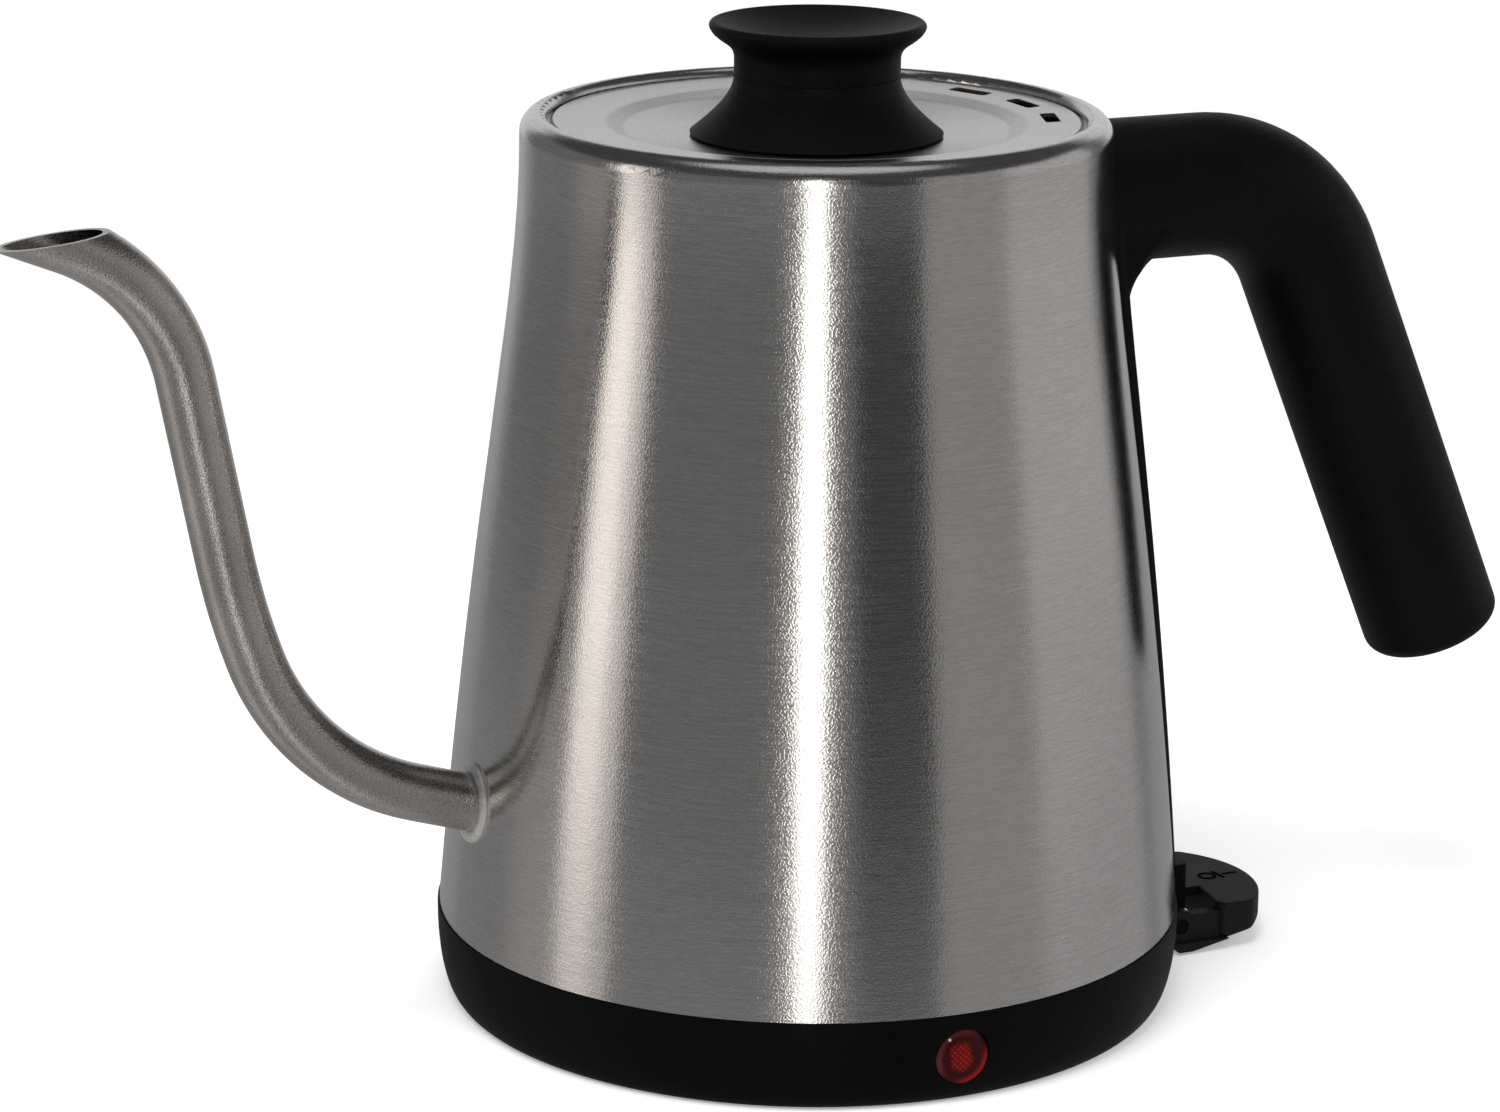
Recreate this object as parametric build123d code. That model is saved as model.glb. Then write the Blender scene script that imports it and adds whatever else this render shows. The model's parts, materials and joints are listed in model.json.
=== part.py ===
from build123d import *
import os
from math import atan2, cos, degrees, hypot, radians, sin, sqrt

# An electric gooseneck kettle. Millimetres, z up from the table, body axis on z,
# spout towards -x, handle and switch lever towards +x, indicator towards -y.

# Steel body
body_foot_r = 70.0
body_foot_z = 17.3
body_top_r = 54.2
shoulder_z = 164.2
shoulder_r = 3.5
lip_r = 1.6
foot_lean = 0.086  # inward lean of the wall at its bottom edge
foot_pull = 85.0  # length over which that lean is felt
top_pull = 33.0  # length over which the wall turns upright under the shoulder
sheet = 0.8
neck_inset = 1.9  # width of the ledge that carries the lid
neck_depth = 12.0
lid_sink = 2.7  # depth of that ledge under the rim

# Vessel floor and heater
floor_z = 36.0
floor_sheet = 1.0
floor_flange = 5.0
heater_gap = 2.8  # from the heater plate to the posts round it
heater_thick = 3.5
element_gap = 5.5  # from the control to the element round it
element_tube_r = 3.5
element_sweep = 300.0
terminal_r = 1.5
terminal_length = 9.0

# Spout, as straight runs and bends from its root; headings above -x, in degrees
spout_r = 5.3
spout_wall = 0.8
spout_root_rise = 6.8  # above the vessel floor
spout_root_sink = 1.6  # start of the root run, inside the wall
spout_root_heading = 17.2
spout_root_run = 13.3
spout_lower_bend_r = 46.0
spout_lower_heading = 70.4
spout_sway_r = 135.5
spout_upright_heading = 79.1
spout_upright_run = 33.5
spout_tip_bend_r = 34.6
spout_tip_heading = 22.5
mouth_run = 2.1  # from the last bend to the mouth's cut
mouth_rise = 0.106  # slope of that cut, up towards the body
collar_width = 1.9
collar_thick = 1.0

# Handle
grip_r = 13.5
grip_wall = 3.0
grip_drop = 15.2  # under the body's shoulder
grip_reach = 25.1  # from the body's top radius to the bend
grip_bend_r = 26.0
grip_turn = 67.5
grip_length = 83.8
grip_end_round = 3.0
grip_root_solid = 7.8  # length of solid root before the grip is hollow
plug_depth = 8.0
spine_half = 13.0
spine_proud = 3.8
spine_edge_round = 2.0
spine_fillet = 10.0
spine_fillet_rise = 3.4  # of the corner's end over the grip's lowest line
corner_inset = 0.8  # of its sides from the spine's
let_down_r = 11.0  # arc that eases the corner into the grip's round side
let_down_arc = 78.0
let_down_tail = 2.2  # the arc runs on this far, and sinks into the grip
let_down_sink = 0.6
bracket_half = 9.0
bracket_height = 18.0
bracket_sheet = 1.5
tongue_half = 6.0
tongue_thick = 3.0
tongue_over = 6.0  # past the screw
handle_screw_reach = 20.0
handle_screw_r = 2.0
handle_screw_head_r = 3.6
handle_screw_head = 2.4
handle_screw_slot = 1.0
handle_post_r = 4.5

# Steam path
steam_drop = 18.0  # under the grip's centre line
steam_bore_r = 2.5
steam_seal_wall = 1.8
duct_half = 6.0
duct_wall = 0.6
duct_depth = 2.7

# Lid and knob
lid_gap = 0.5
lid_sheet = 0.8
lid_rise = 1.4  # above the ledge
lid_band = 10.6
lid_band_drop = 0.5
lid_step = 2.2
lid_step_drop = 1.5
lid_dish = 2.9
dish_margin = 0.8  # flat round the knob's foot
slot_inset = 5.6
slot_length = 9.0
slot_width = 2.8
slot_corner = 0.7
slot_spread = 20.8
slot_turn = 3.2  # of the middle slot, from the handle's side
slot_count = 3
pan_gap = 1.8  # between pan and neck, filled by the seal
pan_depth = 18.0
pan_hole_r = 2.5
pan_hole_inset = 15.4
pan_hole_count = 8
seal_drop = 7.0  # under the ledge
seal_height = 4.0
knob_foot_r = 23.2
knob_edge = 0.5
knob_waist_r = 15.2
knob_base_height = 11.0
knob_neck = 3.0
knob_flare = 6.9
knob_rim_r = 19.8
knob_lip = 0.9  # radius of the rolled edge round the dish
knob_dish_slope = 20.0  # at the dish's edge
knob_foot_pull_in = 4.2  # pulls of the two curves of the knob's side
knob_foot_pull_up = 3.4
knob_waist_pull = 3.6
knob_neck_pull = 3.2
knob_rim_pull_in = 1.2
knob_rim_pull_down = 2.6
knob_screw_r = 2.0
knob_screw_head_r = 4.0
knob_screw_head = 2.6
knob_screw_slot = 1.0
knob_washer_r = 6.0
knob_washer_thick = 0.8
insert_r = 3.5
insert_length = 8.0
insert_end = 1.0
cap_spigot_r = 6.0
cap_spigot = 2.2

# Base
base_proud = 0.3  # outside the body's foot
base_band = 1.7
base_tuck = 4.3
base_side_pull = 7.0  # pulls of the curve that tucks the base in
base_foot_pull = 3.0
base_foot_width = 1.6
base_wall = 3.7
spigot_height = 6.8
base_seal_rise = 3.8
base_seal_height = 2.0
base_seal_depth = 0.8
cover_z = 1.5
cover_thick = 2.0
post_inset = 8.6
post_r = 3.2
post_drop = 3.2  # from the base's top edge to the posts' lower ends
post_count = 3
post_angle = 60.0
base_screw_r = 1.5
base_screw_head_r = 2.9
base_screw_head = 1.4
base_screw_slot = 0.8
base_screw_reach = 8.0
lug_r = 4.5

# Control and inlet socket
control_margin = 7.0  # outside the ring of studs
control_wall = 2.0
control_drop = 4.5  # from the heater plate to the control
socket_r = 16.0
socket_wall = 2.0
socket_mouth_z = 2.0
socket_lip = 5.0
socket_drop = 5.0  # room for the tails over the socket
pin_r = 2.5
pin_length = 14.0
inner_contact_r = 7.0
outer_contact_r = 11.5
contact_sheet = 1.0
contact_height = 7.0
tail_r = 1.0
tail_length = 2.0  # above the socket's roof
stud_gap = 6.0
stud_count = 3
stud_r = 2.0
stud_collar_r = 4.0
stud_reach = 6.0
nut_across = 7.0
nut_height = 3.0
disc_r = 6.5
disc_thick = 0.5
disc_overhang = 2.0
disc_ring_r = 13.0
wire_r = 1.2
wire_spread = 4.8
wire_drop = 4.8

# Switch lever and what it works
boss_half = 11.8
boss_reach = 5.5  # outside the base
boss_wall = 2.0
boss_edge_round = 1.5
lever_pivot_inset = 2.8
lever_pivot_z = 5.5
lever_pin_r = 1.5
lever_eye_r = 3.2
lever_press = 11.0  # turn from off to on
arm_thick = 2.6
arm_back = 1.0  # of the arms' foot, behind the pivot
paddle_gap = 6.2
paddle_reach = 21.9  # from the pivot to the round end
paddle_margin = 1.2  # outside the arms
paddle_top_z = 9.5
paddle_low_z = 0.6
paddle_wall = 1.7
paddle_foot = 1.8  # height of the foot that runs on under the arms
paddle_back_rise = 2.4  # opening under the wall towards the body
paddle_corner = 2.4
paddle_round = 0.6
paddle_foot_round = 1.2
underside_start = 2.0  # past the pivot, where the underside begins to rise
underside_spare = 1.0  # more than the press
tail_half = 4.5
tail_thick = 1.8
tail_over = 1.5  # past the plunger's axis
switch_inset = 4.6
switch_length = 14.0
switch_half = 9.0
switch_rise = 4.5  # above the lever's tail
switch_height = 5.5
switch_post = 4.0
plunger_inset = 4.5
plunger_r = 2.5
plunger_head_r = 3.4
plunger_head = 1.2
plunger_travel = 3.2
blade_half = 3.0
blade_thick = 0.4
steam_disc_r = 5.0
steam_disc_thick = 0.4

# Indicator
lens_z = 9.0
lens_r = 5.1
lens_dome = 0.7
lens_sink = 1.0  # edge of the lens inside the base's widest radius
lens_flange = 1.1
lens_flange_thick = 1.0
lens_sleeve = 8.6
lamp_r = 3.0
lamp_over = 4.0
lead_r = 0.6
lead_spacing = 3.0

# Clearances
weld_gap = 0.1
slip_gap = 0.2
move_gap = 0.3
lever_gap = 0.5
pin_fit = 0.02
running_fit = 0.06
seat_gap = 0.1
tip_gap = 0.5

# Body, lid and knob places that follow
crest_r = body_top_r - shoulder_r
crest_z = shoulder_z + shoulder_r
mouth_r = crest_r - lip_r
neck_r = mouth_r - neck_inset
lid_seat_z = crest_z - lid_sink
lid_r = mouth_r - lid_gap
lid_top_z = lid_seat_z + lid_rise
lid_band_in_r = lid_r - lid_band
lid_band_out_r = lid_r - 3 * lid_sheet
lid_step_r = lid_band_in_r - lid_step
lid_step_z = lid_top_z - lid_step_drop
lid_centre_r = knob_foot_r + dish_margin
lid_centre_z = lid_top_z - lid_dish
slot_ring_r = lid_r - slot_inset
pan_r = neck_r - pan_gap
pan_hole_ring_r = pan_r - pan_hole_inset
seal_z = lid_seat_z - seal_drop
knob_seam_z = lid_centre_z + knob_base_height
knob_flare_z = knob_seam_z + knob_neck
knob_top_z = knob_flare_z + knob_flare

# Base places that follow
base_r = body_foot_r + base_proud
base_top_z = body_foot_z - seat_gap
base_side_z = base_top_z - base_band
base_bottom_r = base_r - base_tuck
base_wall_in_r = base_r - base_wall
spigot_top_z = base_top_z + spigot_height
base_seal_z = base_top_z + base_seal_rise
cover_top_z = cover_z + cover_thick
post_ring_r = base_wall_in_r - post_inset
post_bottom_z = base_top_z - post_drop
lens_edge_r = base_r - lens_sink
lens_sleeve_end_r = base_wall_in_r - lens_sleeve
lamp_end_r = lens_sleeve_end_r - lamp_over

# Heater and control places that follow
floor_under_z = floor_z - floor_sheet
heater_under_z = floor_under_z - heater_thick
heater_r = post_ring_r - post_r - heater_gap
stud_ring_r = socket_r + socket_wall + stud_gap
control_r = stud_ring_r + control_margin
control_top_z = heater_under_z - control_drop
control_bottom_z = socket_mouth_z + socket_lip
socket_roof_z = control_top_z - control_wall - socket_drop
tail_top_z = socket_roof_z + socket_wall + tail_length
element_ring_r = control_r + element_gap + element_tube_r
element_z = heater_under_z - weld_gap - element_tube_r
disc_z = heater_under_z - move_gap - disc_thick

# Switch places that follow
boss_end_x = base_r + boss_reach
lever_pivot_x = boss_end_x - lever_pivot_inset
arm_in = boss_half + lever_gap
paddle_in_r = boss_end_x + paddle_gap
paddle_half = arm_in + arm_thick + paddle_margin
paddle_foot_z = paddle_low_z + paddle_foot
switch_x1 = base_wall_in_r - switch_inset
switch_x0 = switch_x1 - switch_length
switch_z0 = paddle_top_z + switch_rise
switch_z1 = switch_z0 + switch_height
plunger_x = switch_x1 - plunger_inset
plunger_head_z = switch_z1 + move_gap
blade_z = plunger_head_z + plunger_head + plunger_travel + 2 * move_gap
tail_end_x = plunger_x - tail_over
tail_low_z = paddle_top_z - tail_thick

# Handle and spout places that follow
grip_z = shoulder_z - grip_drop
grip_bend_x = body_top_r + grip_reach
grip_hollow_x = body_top_r + grip_root_solid
handle_screw_x = body_top_r + handle_screw_reach
handle_screw_top_z = grip_z - grip_r + handle_screw_head + grip_wall / 2
tongue_end_x = handle_screw_x + tongue_over
steam_z = grip_z - steam_drop
spout_root_z = floor_z + spout_root_rise
collar_r = spout_r + collar_width
wall_points = [
    (body_foot_r, body_foot_z),
    (body_foot_r - foot_lean * foot_pull, body_foot_z + foot_pull),
    (body_top_r, shoulder_z - top_pull),
    (body_top_r, shoulder_z),
]


def wall_r(z):
    """Outer radius of the body wall at height z, on the same cubic as its outline."""
    low, high = 0.0, 1.0
    for _ in range(40):
        t = (low + high) / 2
        weights = ((1 - t) ** 3, 3 * t * (1 - t) ** 2, 3 * t * t * (1 - t), t**3)
        height = sum(w * point[1] for w, point in zip(weights, wall_points))
        low, high = (t, high) if height < z else (low, t)
    return sum(w * point[0] for w, point in zip(weights, wall_points))


spout_root_x = spout_root_sink - wall_r(spout_root_z)


def wall_curve(grow):
    """The wall's outline, moved outward by grow."""
    return Bezier(*[(r + grow, z) for r, z in wall_points])


def turn(*curves):
    """Solid turned about z from a closed outline of curves in (radius, height)."""
    outline = [edge for curve in curves for edge in curve.edges()]
    return revolve(Plane.XZ * make_face(outline), Axis.Z)


def lathe(*points):
    """Solid turned about z from a closed outline of (radius, height) points."""
    return turn(Polyline(*points, close=True))


def block(x0, x1, half, z0, z1):
    """Box between two x and two heights, as far to each side of y = 0."""
    return Pos((x0 + x1) / 2, 0, (z0 + z1) / 2) * Box(x1 - x0, 2 * half, z1 - z0)


def rod(radius, z0, z1, x=0.0, y=0.0):
    """Upright cylinder between two heights."""
    return Pos(x, y, (z0 + z1) / 2) * Cylinder(radius, z1 - z0)


def cross_rod(radius, half, x, z):
    """Cylinder along y, as far to each side of y = 0."""
    return Pos(x, 0, z) * Rot(90, 0, 0) * Cylinder(radius, 2 * half)


def skin(inner, outer):
    """Layer that follows the body wall between two distances outside it."""
    outside = wall_curve(outer)
    inside = wall_curve(inner)
    return turn(outside, Line(outside @ 1, inside @ 1), inside, Line(inside @ 0, outside @ 0))


def wall_patch(inner, outer, half, z0, z1):
    """Piece of such a layer at the back of the body."""
    return skin(inner, outer) & block(0, 2 * body_foot_r, half, z0, z1)


def body_filled(grow):
    """The body as a full solid, grown outward."""
    side = wall_curve(grow)
    top = side @ 1
    return turn(
        side,
        Line(top, (0, top.Y)),
        Line((0, top.Y), (0, body_foot_z)),
        Line((0, body_foot_z), side @ 0),
    )


def around(count, radius, start):
    """Places on a circle about z."""
    step = 360 / count
    angles = [radians(start + step * k) for k in range(count)]
    return [(radius * cos(a), radius * sin(a)) for a in angles]


def together(solids):
    """Separate solids in one node."""
    return Compound(children=[solid.solid() for solid in solids])


# Steel body, spout and vessel floor


def spout_path(start_x):
    """Centre line of the spout from a given x on its root run's line, past the mouth."""
    heading = 180 - spout_root_heading
    slope = (cos(radians(heading)), sin(radians(heading)))
    back = (start_x - spout_root_x) / slope[0]
    start = (start_x, spout_root_z + back * slope[1])
    root = PolarLine(start, spout_root_run - back, heading)
    lower_turn = spout_root_heading - spout_lower_heading
    lower = JernArc(root @ 1, root % 1, spout_lower_bend_r, lower_turn)
    sway_turn = spout_lower_heading - spout_upright_heading
    sway = JernArc(lower @ 1, lower % 1, spout_sway_r, sway_turn)
    upright = PolarLine(sway @ 1, spout_upright_run, 180 - spout_upright_heading)
    tip_turn = spout_upright_heading - spout_tip_heading
    tip = JernArc(upright @ 1, upright % 1, spout_tip_bend_r, tip_turn)
    end = PolarLine(tip @ 1, mouth_run + 4 * spout_r, 180 - spout_tip_heading)
    return Plane.XZ * (root + lower + sway + upright + tip + end)


def spout_solid(radius, start_x):
    """Round bar along the spout's centre line."""
    path = spout_path(start_x)
    return sweep(Plane(path @ 0, z_dir=path % 0) * Circle(radius), path)


def spout_root_bar(radius):
    """Straight bar along the root run, through the wall."""
    path = spout_path(spout_root_x)
    place = Plane(path @ 0, z_dir=path % 0)
    return place * Cylinder(radius, 2 * spout_root_run)


def make_spout_tube():
    tube = spout_solid(spout_r, spout_root_x + spout_r)
    tube -= spout_solid(spout_r - spout_wall, spout_root_x + spout_r)
    path = spout_path(spout_root_x)
    mouth = path @ 1 - path % 1 * (4 * spout_r)
    above = Plane(mouth, x_dir=(1, 0, mouth_rise), z_dir=(-mouth_rise, 0, 1))
    reach = 20 * spout_r
    tube -= above * Pos(0, 0, reach / 2) * Box(reach, reach, reach)
    return tube - body_filled(-sheet)


def make_spout_collar():
    layer = skin(weld_gap, collar_thick) & spout_root_bar(collar_r)
    return layer - spout_root_bar(spout_r + weld_gap)


def make_body_shell():
    outside = wall_curve(0)
    inside = wall_curve(-sheet)
    crest = (crest_r, crest_z)
    under_crest = (crest_r, crest_z - sheet)
    under_r = mouth_r + sheet
    neck_end_z = lid_seat_z - neck_depth
    shoulder = RadiusArc(outside @ 1, crest, -shoulder_r)
    lip = RadiusArc(crest, (mouth_r, crest_z - lip_r), -lip_r)
    neck = Polyline(
        (mouth_r, crest_z - lip_r),
        (mouth_r, lid_seat_z),
        (neck_r, lid_seat_z),
        (neck_r, neck_end_z),
        (neck_r + sheet, neck_end_z),
        (neck_r + sheet, lid_seat_z - sheet),
        (under_r, lid_seat_z - sheet),
        (under_r, crest_z - lip_r),
    )
    inner_lip = RadiusArc(neck @ 1, under_crest, lip_r - sheet)
    inner_shoulder = RadiusArc(under_crest, inside @ 1, shoulder_r - sheet)
    foot = Line(outside @ 0, inside @ 0)
    shell = turn(outside, shoulder, lip, neck, inner_lip, inner_shoulder, inside, foot)
    shell -= spout_root_bar(spout_r + weld_gap)
    hole_r = steam_bore_r + steam_seal_wall + slip_gap
    steam_hole = Rot(0, 90, 0) * Cylinder(hole_r, 2 * body_top_r)
    return shell - Pos(body_top_r + sheet, 0, steam_z) * steam_hole


def make_vessel_floor():
    edge = wall_r(floor_z) - sheet - weld_gap
    return lathe(
        (0, floor_under_z),
        (edge - floor_sheet, floor_under_z),
        (edge - floor_sheet, floor_z - floor_flange),
        (edge, floor_z - floor_flange),
        (edge, floor_z),
        (0, floor_z),
    )


def make_floor_posts():
    posts = []
    for x, y in around(post_count, post_ring_r, post_angle):
        post = rod(post_r, post_bottom_z, floor_under_z, x, y)
        depth = post_bottom_z + base_screw_reach + move_gap
        posts.append(post - rod(base_screw_r + running_fit, post_bottom_z, depth, x, y))
    return together(posts)


# Heater and control


def make_heater_plate():
    return rod(heater_r, heater_under_z, floor_under_z)


def make_heating_element():
    section = Plane.XZ * Pos(element_ring_r, element_z) * Circle(element_tube_r)
    tube = revolve(section, Axis.Z, element_sweep)
    return Rot(0, 0, 180 - element_sweep / 2) * tube


def element_end(side):
    """Plane on one end of the element, looking out of it."""
    angle = radians(180 - element_sweep / 2) * side
    centre = (element_ring_r * cos(angle), element_ring_r * sin(angle), element_z)
    return Plane(centre, z_dir=(sin(angle) * side, -cos(angle) * side, 0))


def make_element_terminals():
    pins = []
    for side in (1, -1):
        pin = Pos(0, 0, terminal_length / 2) * Cylinder(terminal_r, terminal_length)
        pins.append(element_end(side) * pin)
    return together(pins)


def make_element_wires():
    wires = []
    for side in (1, -1):
        start = element_end(side).offset(terminal_length)
        finish = Vector(control_r, side * wire_spread, control_top_z - wire_drop)
        route = Spline(start.origin, finish, tangents=(start.z_dir, Vector(-1, 0, 0)))
        section = Plane(start.origin, z_dir=route % 0) * Circle(wire_r)
        wires.append(sweep(section, route) - rod(control_r, 0, control_top_z))
    return together(wires)


def make_heater_studs():
    studs = []
    for x, y in around(stud_count, stud_ring_r, post_angle):
        stud = rod(stud_collar_r, control_top_z, heater_under_z, x, y)
        studs.append(stud + rod(stud_r, control_top_z - stud_reach, control_top_z, x, y))
    return together(studs)


def make_control_nuts():
    nuts = []
    top = control_top_z - control_wall
    for x, y in around(stud_count, stud_ring_r, post_angle):
        nut = extrude(RegularPolygon(nut_across / 2, 6, major_radius=False), nut_height)
        nut -= Cylinder(stud_r + running_fit, 4 * nut_height)
        nuts.append(Pos(x, y, top - nut_height) * nut)
    return together(nuts)


def disc_places():
    return around(2, disc_ring_r, 90)


def make_control_body():
    body = rod(control_r, control_bottom_z, control_top_z)
    body -= rod(control_r - control_wall, control_bottom_z, control_top_z - control_wall)
    for x, y in around(stud_count, stud_ring_r, post_angle):
        body -= rod(stud_r + slip_gap, control_bottom_z, control_top_z, x, y)
    for x, y in disc_places():
        body += rod(disc_r - disc_overhang, control_top_z, disc_z, x, y)
    arm_end_x = switch_x0 + switch_post
    arm = block(0, arm_end_x, switch_half - control_wall, switch_z0 - control_wall, switch_z0)
    return body + (arm - rod(control_r - control_wall, 0, control_top_z))


def make_overheat_discs():
    discs = [rod(disc_r, disc_z, disc_z + disc_thick, x, y) for x, y in disc_places()]
    return together(discs)


def make_coupler_socket():
    outer = socket_r + socket_wall
    flange_z = control_bottom_z - control_wall
    roof = socket_roof_z + socket_wall
    socket = lathe(
        (0, socket_roof_z),
        (socket_r, socket_roof_z),
        (socket_r, socket_mouth_z),
        (outer, socket_mouth_z),
        (outer, flange_z),
        (control_r, flange_z),
        (control_r, control_bottom_z),
        (outer, control_bottom_z),
        (outer, roof),
        (0, roof),
    )
    for x in (0, inner_contact_r, -outer_contact_r):
        socket -= rod(tail_r + pin_fit, socket_roof_z, roof, x)
    return socket


def make_earth_pin():
    pin = rod(pin_r, socket_roof_z - pin_length, socket_roof_z)
    pin = fillet(pin.edges().group_by(Axis.Z)[0], pin_r / 3)
    return pin + rod(tail_r, socket_roof_z, tail_top_z)


def make_contact(radius, side):
    ring = rod(radius + contact_sheet / 2, socket_roof_z - contact_height, socket_roof_z)
    ring -= rod(radius - contact_sheet / 2, socket_roof_z - contact_height, socket_roof_z)
    return ring + rod(tail_r, socket_roof_z, tail_top_z, side * radius)


# Base


def outward(solid):
    """Lays an upright solid along the indicator's axis, towards -y."""
    return Pos(0, 0, lens_z) * Rot(90, 0, 0) * solid


def lens_seat():
    """Distance from the body axis at which the lens flange bears on the ring's inner wall."""
    return sqrt(base_wall_in_r**2 - (lens_r + lens_flange) ** 2) - seat_gap


def screw_places():
    return around(post_count, post_ring_r, post_angle)


def boss_cavity():
    """Room for the lever's tail, inside the boss at the back of the ring."""
    half = boss_half - boss_wall
    return block(switch_x1, boss_end_x - boss_wall, half, cover_top_z, base_top_z - boss_wall)


def make_base_ring():
    spigot_r = wall_r(spigot_top_z) - sheet - slip_gap
    groove_r = spigot_r - base_seal_depth
    seal_low = base_seal_z - base_seal_height / 2
    seal_high = base_seal_z + base_seal_height / 2
    foot_r = base_bottom_r - base_foot_width
    side = Bezier(
        (base_r, base_side_z),
        (base_r, base_side_z - base_side_pull),
        (base_bottom_r + base_foot_pull, 0),
        (base_bottom_r, 0),
    )
    rest = Polyline(
        (base_bottom_r, 0),
        (foot_r, 0),
        (foot_r, cover_top_z),
        (base_wall_in_r, cover_top_z + base_foot_width),
        (base_wall_in_r, spigot_top_z),
        (spigot_r, spigot_top_z),
        (spigot_r, seal_high),
        (groove_r, seal_high),
        (groove_r, seal_low),
        (spigot_r, seal_low),
        (spigot_r, base_top_z),
        (base_r, base_top_z),
        (base_r, base_side_z),
    )
    ring = turn(side, rest)
    boss = block(base_wall_in_r, boss_end_x, boss_half, paddle_low_z, base_top_z)
    boss = fillet(boss.edges().filter_by(Axis.Z).group_by(Axis.X)[-1], boss_edge_round)
    ring += boss - rod(base_wall_in_r, 0, base_top_z)
    grow = base_wall_in_r / post_ring_r
    for x, y in screw_places():
        lug = rod(lug_r, cover_top_z, post_bottom_z, x, y)
        lug += rod(lug_r, cover_top_z + base_foot_width, post_bottom_z, x * grow, y * grow)
        ring += lug & rod(base_wall_in_r + sheet, 0, spigot_top_z)
        ring -= rod(base_screw_r + slip_gap, 0, spigot_top_z, x, y)
    ring -= boss_cavity()
    ring -= cross_rod(lever_pin_r + pin_fit, arm_in, lever_pivot_x, lever_pivot_z)
    window_low = tail_low_z - 4 * move_gap
    window_high = paddle_top_z + 4 * move_gap
    window_half = tail_half + 2 * move_gap
    ring -= block(switch_x1, boss_end_x + lever_gap, window_half, window_low, window_high)
    duct_in = body_foot_r + duct_wall + slip_gap
    duct_out = body_foot_r + duct_depth
    ring -= block(duct_in, duct_out, duct_half - duct_wall, base_top_z - 2 * boss_wall, base_top_z)
    ring -= outward(rod(lens_r + slip_gap, lens_sleeve_end_r, base_r))
    return ring - outward(rod(lens_r + lens_flange + slip_gap, lens_sleeve_end_r, lens_seat()))


def make_base_seal():
    spigot_r = wall_r(spigot_top_z) - sheet - slip_gap
    low = base_seal_z - base_seal_height / 2 + seat_gap
    high = base_seal_z + base_seal_height / 2 - seat_gap
    ring = rod(spigot_r + seat_gap, low, high)
    return ring - rod(spigot_r - base_seal_depth + seat_gap, low, high)


def make_base_cover():
    cover = rod(base_bottom_r - base_foot_width - slip_gap, cover_z, cover_top_z)
    cover -= rod(socket_r + socket_wall + 2 * slip_gap, cover_z, cover_top_z)
    for x, y in screw_places():
        cover -= rod(base_screw_r + slip_gap, cover_z, cover_top_z, x, y)
        cover -= rod(base_screw_head_r + slip_gap, cover_z, cover_z + base_screw_head, x, y)
    return cover


def make_base_screws():
    screws = []
    for x, y in screw_places():
        screw = rod(base_screw_head_r, cover_z, cover_z + base_screw_head, x, y)
        screw += rod(base_screw_r, cover_z, post_bottom_z + base_screw_reach, x, y)
        slot = Pos(x, y, cover_z) * Box(base_screw_slot, 2 * base_screw_head_r, base_screw_head)
        screws.append(screw - slot)
    return together(screws)


# Indicator


def make_indicator_lens():
    seat = lens_seat()
    dome_r = (lens_r**2 / lens_dome + lens_dome) / 2
    dome = RadiusArc((lens_r, lens_edge_r), (0, lens_edge_r + lens_dome), -dome_r)
    bore = lamp_r + slip_gap
    rest = Polyline(
        (0, lens_edge_r + lens_dome),
        (0, seat - lens_flange_thick),
        (bore, seat - lens_flange_thick),
        (bore, lens_sleeve_end_r),
        (lens_r, lens_sleeve_end_r),
        (lens_r, seat - lens_flange_thick),
        (lens_r + lens_flange, seat - lens_flange_thick),
        (lens_r + lens_flange, seat),
        (lens_r, seat),
        (lens_r, lens_edge_r),
    )
    return outward(turn(dome, rest))


def make_indicator_lamp():
    lamp = rod(lamp_r, lamp_end_r, lens_seat() - lens_flange_thick - seat_gap)
    return outward(fillet(lamp.edges().group_by(Axis.Z)[-1], lamp_r / 2))


def make_lamp_leads():
    leads = []
    for side in (1, -1):
        x = side * lead_spacing / 2
        leads.append(outward(rod(lead_r, control_r + seat_gap, lamp_end_r, x)))
    return together(leads)


# Switch lever and what it works


def paddle_outline(inset):
    """Seen from above: round end about the pivot, straight sides, inner edge round the body's axis."""
    outline = Pos(lever_pivot_x, 0) * Circle(paddle_reach - inset)
    outline &= Rectangle(4 * base_r, 2 * (paddle_half - inset))
    outline -= Circle(paddle_in_r + inset)
    return fillet(outline.vertices(), paddle_corner - inset)


def beside_boss(x0, x1, side, thick, z0, z1):
    """Block of the lever that stands beside the boss, on one side of it."""
    middle = Pos((x0 + x1) / 2, side * (arm_in + thick / 2), (z0 + z1) / 2)
    return middle * Box(x1 - x0, thick, z1 - z0)


def under_lever():
    """Wedge of room that the pressed lever moves into, under its rising underside."""
    start = Pos(lever_pivot_x + underside_start, 0, paddle_low_z)
    wedge = Pos(paddle_reach, 0, -paddle_reach / 2) * Box(2 * paddle_reach, 4 * paddle_half, paddle_reach)
    return start * Rot(0, -lever_press - underside_spare, 0) * wedge


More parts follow.
